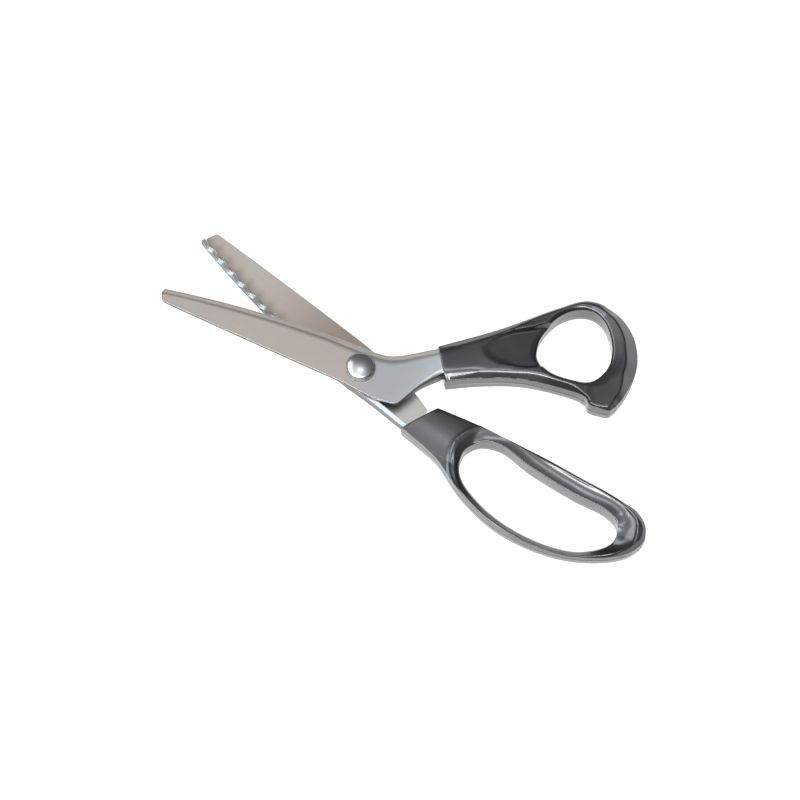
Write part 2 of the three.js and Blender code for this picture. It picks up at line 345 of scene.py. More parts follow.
def cutting_arc(tip_drop):
    """The slightly bulged cutting line, from the tip to beside the pivot."""
    x = np.linspace(TIP_RADIUS, 0, 240)
    y = CUT_BULGE - (CUT_BULGE + tip_drop) * (x / TIP_RADIUS) ** 2
    return np.column_stack([x, y])


def flange_line(tip_drop, shank):
    """The outer face of the flange from the tip, past the pivot, to inside the handle."""
    tail = spline(shank)
    end = tail[-1] + (tail[-1] - tail[-2]) / np.linalg.norm(tail[-1] - tail[-2]) * 2.0
    return evenly(np.vstack([cutting_arc(tip_drop), tail[1:], end]), OUTLINE_STEP)


def where(line, x):
    """Distance along a line to where it passes x."""
    along = lengths(line)
    return float(along[np.argmin(np.abs(line[:, 0] - x))])


def facing(flange, back, tip, places):
    """Distances along flange and back of places that face each other, given by their X."""
    pairs = [(0, 0), (4.5, where(back, tip))]
    pairs += [(where(flange, near), where(back, far)) for near, far in places]
    return pairs + [(lengths(flange)[-1], lengths(back)[-1])]


def blade(name, flange, back, landmarks, crest, lip_span, front):
    rings = blade_points(flange, back, landmarks, crest, lip_span)
    count, size = rings.shape[:2]
    points = rings.reshape(-1, 3)
    if front:
        points = points * [1, -1, -1] + [0, 0, HEIGHT]
        points = place_front(points)
    obj = mesh_object(name, points, rings_to_faces(count, size, False, True), 28)
    bored(obj, HOLE_RADIUS)
    mark_faces(obj, flange, back, lip_span is not None, front)
    return obj


SATIN, GROUND, BEND_TONE, EDGE = 0, 1, 2, 3
FLAT_SLOPE = 0.9995       # upright part of the normal, above which a face counts as flat
WALL_SLOPE = 0.5          # and below which it counts as a wall
TEETH_START = 15.0
LIP_START = -20.0


def mark_faces(obj, flange, back, has_lip, front):
    """Chooses each face's material: satin sheet, ground rim, the bends' rougher steel with a painted
    reflection tone, or edges and walls with painted shade.
    """
    centres = np.array([p.center for p in obj.data.polygons]) / MM
    normals = np.array([p.normal for p in obj.data.polygons])
    if front:
        centres = place_front(centres, -1) * [1, -1, -1] + [0, 0, HEIGHT]
        normals = place_front(normals, -1) * [1, -1, -1]
    plan, z = centres[:, :2], centres[:, 2]
    slope = normals[:, 2]
    from_flange = distances(plan, flange, False)
    from_back = distances(plan, back, False)
    upright = np.abs(slope) < WALL_SLOPE
    bent = (slope > -FLAT_SLOPE) & (slope < WALL_SLOPE)
    low = z < FLOOR_LOW + BEND_RADIUS
    toothed = (plan[:, 0] > TEETH_START) & (from_flange < SHEET + 0.2) & (z > FLOOR_HIGH + 0.45)
    finish = np.full(len(z), SATIN)
    finish[toothed] = GROUND
    # bends beside the flange: rougher steel with a painted reflection tone
    finish[(from_flange < FLOOR_START - 0.1) & low & bent & ~toothed] = BEND_TONE
    # painted shade on the flange's outer wall
    finish[(from_flange < 0.05) & upright] = EDGE
    finish[(from_flange < SHEET) & (slope > WALL_SLOPE) & (z > PLAIN_RIM - 1)] = GROUND
    # painted shade on the back edges, and below on the lip's wall
    finish[(from_back < BURR + 0.02) & (np.abs(slope) < 0.9)] = EDGE
    if has_lip:
        finish[(from_back < BEND_RADIUS) & bent & (slope > -0.6) & (plan[:, 0] < LIP_START)] = EDGE
    for polygon, index in zip(obj.data.polygons, finish):
        polygon.material_index = int(index)


def rear_blade():
    """Lower half: plain back, rounded tip corner and a straight shank."""
    flange = flange_line(REAR_TIP_DROP, [[0, CUT_BULGE], [-12, 8.1], [-30.2, 8]])
    end = spline([[90.75, -7.6], [90.5, -8.15], [90.0, -8.5], [89.2, -8.62]], step=0.2)
    edge = spline([[88, -8.65], [60, -9.8], [25, -10.9], [3, -11.2], [-12, -10.4], [-24.7, -8],
                   [-32.6, -5.9]])
    back = evenly(np.vstack([end, edge]), OUTLINE_STEP)
    pairs = facing(flange, back, 88, [(60, 60), (20, 20), (0, 1)])
    return blade("rear_blade_steel", flange, back, pairs, CREST_RADIUS, None, False)


def front_blade():
    """Upper half, drawn closed and turned over: wide shank with a lip on its far edge."""
    flange = flange_line(0, [[0, CUT_BULGE], [-8.4, 9.8], [-13.3, 11.9], [-20.4, 16.8], [-25.4, 20.3]])
    end = spline([[91.6, -4.7], [91.1, -5.3], [90.2, -5.7], [88.8, -5.95]], step=0.2)
    edge = spline([[87, -6.05], [63, -7], [25, -8.4], [5, -9.1], [-9, -10.3], [-17, -9.9]])
    corner = spline([[-17.3, -9.85], [-19.2, -9.5], [-20.6, -8.6], [-21.9, -6.6], [-24.1, -2.4],
                     [-26.6, 2.2], [-29.5, 6.2], [-33, 10.6], [-34.6, 12.4]])
    back = evenly(np.vstack([end, edge, corner]), OUTLINE_STEP)
    pairs = facing(flange, back, 87.5, [(60, 60), (20, 20), (0, -1), (-7, -12), (-12.5, -20.9)])
    # the lip rises from nothing to its full height between these two places
    marks = [where(back, -21.5), where(back, -31.5)]
    lip_span = np.interp(marks, [p[1] for p in pairs], [p[0] for p in pairs])
    return blade("front_blade_steel", flange, back, pairs, CREST_RADIUS + PITCH / 2, lip_span, True)


# ---- moulded handles ----
SPOKES = 480              # sections round each bow
COLUMNS = 44              # points across the top of each section
MOUTH_ROUND = 0.4         # broken edge round the handles' open ends
WALL_INSET = 0.36         # top and foot of the outer walls from the outline
WALL_BULGE = 0.18
SEAM_PROUD = 0.08
SEAM_HEIGHT = 6.2         # parting line of the mould
FOOT_ROUND = 1.8
NECK_HALF = 8.0           # half the width of the necks


def distances(points, line, closed=True):
    """Distance of each point from a line."""
    a = line if closed else line[:-1]
    b = np.roll(line, -1, axis=0) if closed else line[1:]
    run = b - a
    square = np.maximum((run ** 2).sum(axis=1), 1e-12)
    best = np.full(len(points), 1e9)
    for start in range(0, len(points), 2000):
        p = points[start:start + 2000, None, :]
        t = np.clip(((p - a) * run).sum(axis=2) / square, 0, 1)
        near = a + run * t[..., None]
        best[start:start + 2000] = np.sqrt(((p - near) ** 2).sum(axis=2)).min(axis=1)
    return best


def inside(points, line):
    """Whether each point lies within a closed line."""
    a = line
    b = np.roll(line, -1, axis=0)
    result = np.zeros(len(points), bool)
    for (x1, y1), (x2, y2) in zip(a, b):
        if y1 == y2:
            continue
        spans = (points[:, 1] > min(y1, y2)) & (points[:, 1] <= max(y1, y2))
        result ^= spans & (points[:, 0] < x1 + (points[:, 1] - y1) / (y2 - y1) * (x2 - x1))
    return result


def round_table(angles, table):
    """Values that change smoothly with direction, from (degrees, value...) rows."""
    rows = np.array(sorted(table), float)
    first = rows[0].copy()
    last = rows[-1].copy()
    first[0] += 360
    last[0] -= 360
    rows = np.vstack([last, rows, first])
    turn = np.mod(angles - rows[1, 0], 360) + rows[1, 0]
    out = []
    for column in range(1, rows.shape[1]):
        index = np.clip(np.searchsorted(rows[:, 0], turn, side="right") - 1, 0, len(rows) - 2)
        low, high = rows[index, 0], rows[index + 1, 0]
        t = (turn - low) / (high - low)
        t = t * t * (3 - 2 * t)
        out.append(rows[index, column] * (1 - t) + rows[index + 1, column] * t)
    return out


def smoothed(values, passes):
    """Values round a closed loop, each blended with its neighbours."""
    for _ in range(passes):
        values = (np.roll(values, 1, axis=0) + values * 2 + np.roll(values, -1, axis=0)) / 4
    return values


def hole_spokes(hole, count):
    """Evenly spaced points round the hole, and the smoothed directions away from it."""
    loop = np.vstack([hole, hole[:1]])
    inner = evenly(loop, lengths(loop)[-1] / count)[:-1]
    ahead = np.roll(inner, -1, axis=0) - np.roll(inner, 1, axis=0)
    normal = np.stack([ahead[:, 1], -ahead[:, 0]], axis=1)
    normal /= np.linalg.norm(normal, axis=1)[:, None]
    if ((inner - inner.mean(axis=0)) * normal).sum() < 0:
        normal = -normal
    normal = smoothed(normal, 30)
    normal /= np.linalg.norm(normal, axis=1)[:, None]
    return inner, normal


def first_hit(loop, along, point, way):
    """Distance along a closed line to where a ray from the point first meets it."""
    a = loop[:-1] - point
    run = loop[1:] - loop[:-1]
    cross = run[:, 0] * way[1] - run[:, 1] * way[0]
    cross[np.abs(cross) < 1e-12] = 1e-12
    reach = (run[:, 0] * a[:, 1] - run[:, 1] * a[:, 0]) / cross
    share = (way[0] * a[:, 1] - way[1] * a[:, 0]) / cross
    good = (share >= 0) & (share <= 1) & (reach > 0)
    best = int(np.argmin(np.where(good, reach, 1e9)))
    return along[best] + share[best] * (along[best + 1] - along[best])


def spokes(outline, corners, hole):
    """Matching points round the hole and round the outline."""
    inner, normal = hole_spokes(hole, SPOKES)
    loop = np.vstack([outline, outline[:1]])
    along = lengths(loop)
    total = along[-1]
    hits = [first_hit(loop, along, p, n) for p, n in zip(inner, normal)]
    steps = np.mod(np.diff(np.array(hits + hits[:1])) + total / 2, total) - total / 2
    if steps.sum() < 0:
        raise ValueError("outline and hole run opposite ways")
    steps = smoothed(np.maximum(steps, 0.02), 60)
    steps *= total / steps.sum()
    marks = hits[0] + np.concatenate([[0], np.cumsum(steps)[:-1]])
    for corner in corners:
        at = along[int(np.argmin(np.linalg.norm(loop[:-1] - corner, axis=1)))]
        gap = np.mod(marks - at + total / 2, total) - total / 2
        best = int(np.argmin(np.abs(gap)))
        marks[best] -= gap[best]
    outer = point_at(loop, along, np.mod(marks, total))
    outward = (outer - inner) / np.linalg.norm(outer - inner, axis=1)[:, None]
    return inner, normal, outer, outward


def handle_rings(bow, hole, top_height):
    """Rings of points round each spoke's section: top, outer wall, bottom and inner wall."""
    corners = [bow[0], bow[-1]]
    mouth = evenly(np.array(corners[::-1]), 0.4)
    outline = np.vstack([bow, mouth[1:-1]])
    inner, normal, outer, outward = spokes(outline, corners, hole)
    outer = outer - outward * WALL_INSET
    count = len(inner)
    direction = np.degrees(np.arctan2(normal[:, 1], normal[:, 0]))
    share = 0.5 - 0.5 * np.cos(np.pi * np.arange(COLUMNS + 1) / COLUMNS)
    plan = inner[:, None, :] + (outer - inner)[:, None, :] * share[None, :, None]
    flat = plan.reshape(-1, 2)
    from_hole = distances(flat, hole).reshape(count, -1)
    from_edge = np.maximum(distances(flat, bow, False).reshape(count, -1) - WALL_INSET, 0)
    from_mouth = np.maximum(distances(flat, mouth, False).reshape(count, -1) - WALL_INSET, 0)
    from_hole[:, 0] = 0
    top = top_height(plan, direction[:, None], from_hole, from_edge)
    top = top - MOUTH_ROUND * np.clip(1 - from_mouth / MOUTH_ROUND, 0, 1) ** 2
    rows = [np.column_stack([plan[:, k], top[:, k]]) for k in range(COLUMNS + 1)]

    def ring(points, offset, height):
        moved = points[0] + points[1] * offset
        rows.append(np.column_stack([moved, np.broadcast_to(height, count)]))

    edge = top[:, -1]
    foot = FOOT_ROUND

    def wall(part):
        ring((outer, outward), WALL_BULGE * math.sin(math.pi * part), edge + (foot - edge) * part)

    for part in (0.03, 0.2, 0.4):
        wall(part)
    for offset, height in ((0, 0.2), (SEAM_PROUD, 0.1), (SEAM_PROUD, -0.1), (0, -0.2)):
        ring((outer, outward), WALL_BULGE + offset, SEAM_HEIGHT + height)
    for part in (0.75, 1.0):
        wall(part)
    for step in range(1, 5):
        turn = math.radians(22.5 * step)
        ring((outer, outward), -foot * (1 - math.cos(turn)), foot * (1 - math.sin(turn)))
    low_outer = outer - outward * foot
    low_inner = inner + normal * foot
    for part in (0.2, 0.4, 0.6, 0.8):
        rows.append(np.column_stack([low_outer + (low_inner - low_outer) * part, np.zeros(count)]))
    for step in range(5):
        turn = math.radians(90 - 22.5 * step)
        ring((inner, normal), foot * (1 - math.cos(turn)), foot * (1 - math.sin(turn)))
    for part in (0.3, 0.6, 0.9):
        ring((inner, normal), 0, foot + (top[:, 0] - foot) * part)
    return np.stack(rows, axis=1)


def crown(plan, near, far, height, tilt=0.0):
    """How far a neck's slightly domed top falls away from its middle line, and to one side."""
    way = (np.array(far) - near) / np.linalg.norm(np.array(far) - near)
    offset = plan - near
    aside = offset[..., 0] * way[1] - offset[..., 1] * way[0]
    return height * np.minimum((aside / NECK_HALF) ** 2, 1.5) + tilt * (aside + NECK_HALF)


def handle(name, rings, front):
    count, size = rings.shape[:2]
    points = rings.reshape(-1, 3)
    if front:
        points = place_front(points)
    return mesh_object(name, points, rings_to_faces(count, size, True, False), 34)


def finger_handle():
    """Long bow: outline, hole, and the heights of its top in each direction from the hole."""
    bow = spline([[-36.8, -7.3], [-60, -14.1], [-92, -20.9], [-123.4, -26.2], [-131, -26.7], [-137, -24.4],
                  [-140.6, -19], [-139.6, -12], [-134.6, -4.4], [-122, 6], [-107, 13], [-88, 17],
                  [-68, 15.4], [-51, 10.2], [-43, 9.4], [-36, 9.3]])
    bow = np.vstack([bow, evenly(np.array([[-36, 9.3], [-30.4, 9.3]]), 0.4)[1:]])
    hole = spline([[-57.6, 0], [-60.2, -7.6], [-68, -12], [-84, -12.6], [-104, -15.2], [-120.5, -18.6],
                   [-127.6, -17], [-130.4, -10.4], [-123, 0.6], [-111, 7.8], [-93, 12.6], [-76, 12.6],
                   [-62.6, 8.4]], closed=True)[:-1]
    # direction, crest height, edge height, outer slope, height at the hole, dish, curve, worn edge
    table = [
        (40, 13.7, 12.3, 1.2, 9.4, 4.2, 1.0, 0.9),
        (90, 12.2, 10.8, 1.2, 8.2, 3.6, 1.0, 0.9),
        (130, 11.0, 9.4, 1.3, 6.8, 3.6, 1.0, 0.9),
        (165, 11.8, 9.4, 1.6, 8.0, 5.6, 1.3, 0.8),
        (200, 12.7, 9.8, 1.8, 9.6, 8.0, 1.7, 0.6),
        (230, 13.3, 11.0, 1.7, 11.0, 8.0, 2.3, 0.5),
        (262, 13.6, 12.2, 1.5, 12.1, 6.5, 4.0, 0.4),
        (305, 13.7, 12.6, 1.4, 11.6, 6.2, 2.0, 0.4),
        (345, 13.7, 12.7, 1.3, 10.2, 5.2, 0.8, 0.4),
    ]
    bead = 0.38     # raised line along the crest

    def top_height(plan, direction, from_hole, from_edge):
        crest, edge, slope, low, dish, curve, worn_edge = round_table(direction, table)
        outer = edge + (crest - edge) * from_edge / slope
        inner = low + (crest - low) * (from_hole / dish) ** curve
        neck = ease(plan[..., 0], -74, -54)
        plateau = crest - crown(plan, [-33.6, 0.0], [-56, -2], 0.7, 0.09) * neck
        height = soft_min([outer, inner, plateau], 0.2)
        height = height + bead * np.exp(-((from_hole - dish - 0.3) / 0.65) ** 2)
        worn = np.clip(1 - from_hole / worn_edge, 0, 1)
        return np.minimum(height - worn_edge * 0.55 * worn ** 2, HEIGHT)

    return handle("finger_handle_moulding", handle_rings(bow, hole, top_height), False)


def thumb_handle():
    """Round bow with a bumper spur and a scoop for the ball of the thumb."""
    lower = spline([[-35.3, -8.5], [-49, -15.8], [-64.9, -22.1], [-82, -25.2], [-90, -25.7], [-93.2, -25.2]])
    spur = spline([[-93.9, -24.8], [-95.6, -22.9], [-96.2, -22.6], [-104.6, -23.7], [-105.4, -24.2]])
    upper = spline([[-106.9, -27], [-108.4, -33], [-108.9, -41], [-107.4, -51], [-101.4, -61.4], [-93, -66.8],
                    [-84, -68.2], [-76.5, -66.5], [-67.6, -59.5], [-47.7, -40], [-26.2, -21.9]])
    bow = evenly(np.vstack([lower, spur, upper]), 0.4)[::-1]
    hole = spline([[-65.6, -39], [-65.4, -45], [-69.2, -55.4], [-75, -61], [-81.5, -63], [-88.4, -60.4],
                   [-95.6, -50.4], [-96.8, -41], [-92.5, -33], [-84, -30.4], [-74, -30.4],
                   [-67.8, -34]], closed=True)[:-1]
    # direction, crest, edge, outer slope, its curve, height at the hole, dish, curve, worn edge, softness
    table = [
        (20, 13.9, 11.3, 2.9, 1.0, 12.9, 1.4, 1.0, 3.2, 0.26),
        (75, 13.9, 11.3, 2.9, 1.0, 12.8, 1.4, 1.0, 1.2, 0.26),
        (96, 13.8, 11.2, 2.2, 1.0, 12.7, 1.4, 1.0, 0.9, 0.16),
        (112, 13.4, 12.2, 0.7, 1.0, 12.4, 1.6, 1.0, 0.9, 0.1),
        (130, 13.1, 12.3, 0.7, 1.0, 12.2, 2.4, 1.0, 0.9, 0.1),
        (155, 13.1, 10.2, 2.6, 1.0, 12.0, 3.6, 1.2, 1.0, 0.2),
        (182, 13.3, 7.6, 4.8, 1.0, 11.8, 4.8, 1.4, 1.2, 0.3),
        (205, 13.4, 6.8, 5.4, 1.0, 11.8, 5.2, 1.4, 1.2, 0.3),
        (240, 13.6, 9.2, 3.8, 1.1, 12.4, 4.2, 1.4, 1.2, 0.3),
        (270, 13.8, 12.0, 2.2, 1.2, 12.9, 3.0, 1.0, 1.0, 0.3),
        (294, 13.9, 12.4, 1.4, 1.2, 12.8, 1.5, 1.0, 0.9, 0.25),
        (335, 13.9, 12.0, 1.4, 1.2, 12.9, 1.5, 1.0, 1.6, 0.2),
    ]
    scoop = spline([[-44.8, -29.0], [-47.6, -26.0], [-56.1, -25.2], [-66.4, -28.0], [-74, -34], [-75, -47],
                    [-68.5, -51.5], [-60, -45.8], [-52, -40.2], [-46.3, -33.6]], closed=True)[:-1]
    scoop_turn = math.radians(208)
    scoop_way = np.array([math.cos(scoop_turn), math.sin(scoop_turn)])
    scoop_depth = 0.6       # at the mouth, then deeper by the fall for each millimetre
    scoop_fall = 0.11

    def top_height(plan, direction, from_hole, from_edge):
        crest, edge, slope, roll, low, dish, curve, worn_edge, softness = round_table(direction, table)
        outer = crest - (crest - edge) * (1 - np.minimum(from_edge / slope, 1)) ** roll
        outer = outer + np.maximum(from_edge - slope, 0)
        inner = low + (crest - low) * (from_hole / dish) ** curve
        plateau = crest - crown(plan, [-30.6, -15.2], [-62, -38], 0.3) * ease(plan[..., 0], -70, -60)
        height = soft_min([outer, inner, plateau], softness)
        flat = plan.reshape(-1, 2)
        bank = distances(flat, scoop) * np.where(inside(flat, scoop), 1, -1)
        bank = bank.reshape(from_hole.shape)
        along = (plan - scoop[0]) @ scoop_way
        floor = crest - scoop_depth - scoop_fall * np.maximum(along, 0)
        floor = floor + (0.4 + crest - floor) * (1 - ease(bank, -0.6, 1.5))
        height = soft_min([height, floor], 0.12)
        worn = np.clip(1 - from_hole / worn_edge, 0, 1)
        return np.minimum(height - worn_edge * 0.6 * worn ** 2, HEIGHT)

    return handle("thumb_handle_moulding", handle_rings(bow, hole, top_height), True)


# ---- pivot hardware ----
def rounded(profile, radius, steps=4):
    """The profile with each outside corner given a small radius."""
    out = []
    size = len(profile)
    for i in range(size):
        before = np.array(profile[i - 1], float)
        here = np.array(profile[i], float)
        after = np.array(profile[(i + 1) % size], float)
        one, two = before - here, after - here
        reach = min(radius, np.linalg.norm(one) / 3, np.linalg.norm(two) / 3)
        start = here + one / np.linalg.norm(one) * reach
        end = here + two / np.linalg.norm(two) * reach
        for k in range(steps + 1):
            t = k / steps
            out.append(tuple((1 - t) ** 2 * start + 2 * t * (1 - t) * here + t ** 2 * end))
    return out


CAP_EDGE_DEG = 25         # slope of the domed head where its rounded shoulder starts
CAP_SHARE = 0.88          # cap's radius as a share of the head's
HEAD_EXTRA = 0.25         # how far the head's widest line stands past its foot
HEAD_GAP = 0.15           # over the head washer, and over the nut's flange
SHANK_RADIUS = 1.95
BARREL_RADIUS = 3.0
THREAD_RADIUS = 2.15
NUT_FLOOR = 3.0           # bottom of the threaded hole
SPANNER_RADIUS = 0.8
SPANNER_REACH = 3.9
SPANNER_DEPTH = 1.0
WASHER_RADIUS = 6.5
BUSH_RADIUS = 5.4
SPRING_RADIUS = 5.6
SPRING_SHEET = 0.35


def heights(node):
    """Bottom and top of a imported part, in millimetres."""
    low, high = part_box(node)
    return low.z / MM, high.z / MM


def domed_profile(radius, top):
    """The rounded shoulder and flatter cap of a domed head, from its widest point inwards."""
    cap_radius = CAP_SHARE * radius
    cap_turn = math.radians(CAP_EDGE_DEG)
    sphere = cap_radius / math.sin(cap_turn)
    shoulder = (radius - cap_radius) / (1 - math.sin(cap_turn))
    cap_drop = sphere * (1 - math.cos(cap_turn))
    profile = []
    for i in range(9):
        turn = math.pi / 2 - (math.pi / 2 - cap_turn) * i / 8
        reach = cap_radius + shoulder * (math.sin(turn) - math.sin(cap_turn))
        profile.append((reach, top - cap_drop - shoulder * (math.cos(cap_turn) - math.cos(turn))))
    for i in range(1, 17):
        turn = cap_turn * (1 - i / 16)
        profile.append((sphere * math.sin(turn), top - sphere * (1 - math.cos(turn))))
    profile[-1] = (0, top)
    return profile


def pivot_bolt():
    """Screw shank with a domed head."""
    low, top = heights("pivot_bolt")
    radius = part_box("pivot_bolt")[1].x / MM + HEAD_EXTRA
    head_low = heights("head_washer")[1] + HEAD_GAP
    profile = [(0, low), (SHANK_RADIUS, low), (SHANK_RADIUS, head_low), (radius - HEAD_EXTRA, head_low),
               (radius, head_low + 0.2)]
    bolt = turned("pivot_bolt_dome", profile + domed_profile(radius, top), 128)
    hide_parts("pivot_bolt")
    return bolt


def pivot_nut():
    """Round flange, barrel that both halves turn on, blind hole and two spanner holes."""
    top = heights("pivot_nut")[1]
    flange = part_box("pivot_nut")[1].x / MM
    flange_top = FLOOR_LOW - HEAD_GAP
    axis = 0.001
    profile = [(axis, 0), (flange, 0), (flange, flange_top), (BARREL_RADIUS, flange_top),
               (BARREL_RADIUS, top), (THREAD_RADIUS, top), (THREAD_RADIUS, NUT_FLOOR), (axis, NUT_FLOOR)]
    nut = turned("pivot_nut_barrel", rounded(profile, 0.3), 128)
    for side in (-1, 1):
        bored(nut, SPANNER_RADIUS, SPANNER_REACH * side, 0, SPANNER_DEPTH)
    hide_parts("pivot_nut")
    return nut


def flat_ring(name, radius, low, high, edge):
    """A ring round the barrel, with edges of a small radius."""
    profile = [(HOLE_RADIUS, low), (radius, low), (radius, high), (HOLE_RADIUS, high)]
    return turned(name, rounded(profile, edge))


def head_washer():
    washer = flat_ring("head_washer_ring", WASHER_RADIUS, *heights("head_washer"), 0.15)
    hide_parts("head_washer")
    return washer


def spacer_bush():
    bush = flat_ring("spacer_bush_ring", BUSH_RADIUS, *heights("spacer_bush"), 0.3)
    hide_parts("spacer_bush")
    return bush


def spring_washer():
    """A dished ring, higher at its rim."""
    low, high = heights("spring_washer")
    profile = [(HOLE_RADIUS, low), (SPRING_RADIUS, high - SPRING_SHEET), (SPRING_RADIUS, high),
               (HOLE_RADIUS, low + SPRING_SHEET)]
    spring = turned("spring_washer_ring", rounded(profile, 0.1))
    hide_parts("spring_washer")
    return spring


# ---- materials ----
BEIGE = (0.445, 0.392, 0.35)
PALE = (0.49, 0.435, 0.385)
SILVER = (0.74, 0.78, 0.80)
# painted reflection on the front half's shank: lighter towards the thumb handle, darker towards the pivot
SHANK_REFLECTION_DARK = (0.38, 0.385, 0.39)
SHANK_REFLECTION_BRIGHT = (0.52, 0.56, 0.57)
TANG_GREY = (0.47, 0.46, 0.43)
# brown-grey painted on the bends to give their reflected tone; that steel is also rougher
BEND_REFLECTION_TONE = (0.62, 0.56, 0.50)
# dark grey painted on cut edges, outer walls and the lip's wall as painted shade
EDGE_SHADE_GREY = (0.13, 0.127, 0.12)
# head washer painted dark as painted shade round the dome's rim
WASHER_SHADE_GREY = (0.25, 0.23, 0.21)
BOLT_GREY = (0.29, 0.29, 0.3)
# painted shade along the foot of the rear blade's toothed rim, scalloped as a painted reflection of the teeth
RIM_FOOT_SHADE = (0.31, 0.265, 0.205)
DUSK = (0.29, 0.245, 0.20)      # rear blade in the other blade's shade
RIM_SHADE_WIDTH = 7.5
SCALLOP = 1.8
FINE = 0.00002                  # depth of the finest marks, in metres


def new_material(name, color, metallic, roughness):
    material = bpy.data.materials.new(name)
    material.use_nodes = True
    shader = material.node_tree.nodes["Principled BSDF"]
    shader.inputs["Base Color"].default_value = (*color, 1)
    shader.inputs["Metallic"].default_value = metallic
    shader.inputs["Roughness"].default_value = roughness
    return material, material.node_tree, shader


def noise(tree, scale, detail=3.0, stretch=None, turn=0.0):
    """Noise in the frame's own coordinates, drawn out along one direction if asked."""
    place = tree.nodes.new("ShaderNodeTexCoord")
    rotation = tree.nodes.new("ShaderNodeMapping")
    rotation.inputs["Rotation"].default_value[2] = math.radians(-turn)
    mapping = tree.nodes.new("ShaderNodeMapping")
    mapping.inputs["Scale"].default_value = stretch or (1, 1, 1)
    tree.links.new(place.outputs["Object"], rotation.inputs["Vector"])
    tree.links.new(rotation.outputs["Vector"], mapping.inputs["Vector"])
    texture = tree.nodes.new("ShaderNodeTexNoise")
    texture.inputs["Scale"].default_value = scale
    texture.inputs["Detail"].default_value = detail
    tree.links.new(mapping.outputs["Vector"], texture.inputs["Vector"])
    return texture.outputs["Fac"]


def ramp(tree, value, low, high):
    """Maps a 0 to 1 value to between two values or colours."""
    node = tree.nodes.new("ShaderNodeValToRGB")
    node.color_ramp.elements[0].position = 0.3
    node.color_ramp.elements[1].position = 0.7
    low = low if isinstance(low, tuple) else (low,) * 3
    high = high if isinstance(high, tuple) else (high,) * 3
    node.color_ramp.elements[0].color = (*low, 1)
    node.color_ramp.elements[1].color = (*high, 1)
    tree.links.new(value, node.inputs["Fac"])
    return node.outputs["Color"]


def bump(tree, shader, height, strength, distance):
    node = tree.nodes.new("ShaderNodeBump")
    node.inputs["Strength"].default_value = strength
    node.inputs["Distance"].default_value = distance
    tree.links.new(height, node.inputs["Height"])
    tree.links.new(node.outputs["Normal"], shader.inputs["Normal"])


def math_node(tree, operation, *values):
    node = tree.nodes.new("ShaderNodeMath")
    node.operation = operation
    for socket, value in zip(node.inputs, values):
        if isinstance(value, (int, float)):
            socket.default_value = value
        else:
            tree.links.new(value, socket)
    return node.outputs[0]


def blend_colors(tree, share, low, high, way="MIX"):
    """Low where the share is 0, high where it is 1, or the two multiplied."""
    node = tree.nodes.new("ShaderNodeMix")
    node.data_type = "RGBA"
    node.blend_type = way
    for socket, value in ((node.inputs["Factor"], share), (node.inputs[6], low), (node.inputs[7], high)):
        if isinstance(value, float):
            socket.default_value = value
        elif isinstance(value, tuple):
            socket.default_value = (*value, 1)
        else:
            tree.links.new(value, socket)
    return node.outputs[2]


def blade_place(tree, turn, turned_over):
    """Coordinates along and across a half as it is drawn: metres, teeth at +Y."""
    place = tree.nodes.new("ShaderNodeTexCoord")
    rotation = tree.nodes.new("ShaderNodeMapping")
    rotation.inputs["Rotation"].default_value[2] = math.radians(-turn)
    tree.links.new(place.outputs["Object"], rotation.inputs["Vector"])
    split = tree.nodes.new("ShaderNodeSeparateXYZ")
    tree.links.new(rotation.outputs["Vector"], split.inputs[0])
    y = split.outputs["Y"]
    if turned_over:
        y = math_node(tree, "MULTIPLY", y, -1.0)
    return split.outputs["X"], y


def smooth_step(tree, value, low, high):
    node = tree.nodes.new("ShaderNodeMapRange")
    node.interpolation_type = "SMOOTHSTEP"
    tree.links.new(value, node.inputs["Value"])
    node.inputs["From Min"].default_value = low
    node.inputs["From Max"].default_value = high
    return node.outputs["Result"]


def satin_steel(name, turn, color, rim_shaded=False, front_with_shank_reflection=False, roughness=0.3):
    """Satin steel, brushed lengthwise; the front half's shank can get a painted reflection, and the rear half
    gets painted shade along the foot of its rim and near the pivot.
    """
    material, tree, shader = new_material(name, color, 1.0, roughness)
    marks = noise(tree, 3600, 3, (0.02, 1, 1), turn)
    cloud = noise(tree, 45, 3)
    paint = ramp(tree, cloud, tuple(c * 0.95 for c in color), color)
    x, y = blade_place(tree, turn, front_with_shank_reflection)
    if front_with_shank_reflection:
        # painted reflection on the front shank, brightest towards the handle
        along = math_node(tree, "ADD", x, math_node(tree, "MULTIPLY", noise(tree, 150, 2), 0.008))
        shank = blend_colors(tree, smooth_step(tree, along, -0.036, -0.012), SHANK_REFLECTION_BRIGHT, SHANK_REFLECTION_DARK)
        paint = blend_colors(tree, smooth_step(tree, along, -0.008, 0.014), shank, paint)
    if rim_shaded:
        paint = painted_rim_shade(tree, x, y, paint)
    paint = blend_colors(tree, 1.0, paint, ramp(tree, marks, 0.95, 1.0), "MULTIPLY")
    tree.links.new(paint, shader.inputs["Base Color"])
    tree.links.new(ramp(tree, marks, roughness - 0.01, roughness + 0.01), shader.inputs["Roughness"])
    bump(tree, shader, marks, 0.008, FINE)
    return material


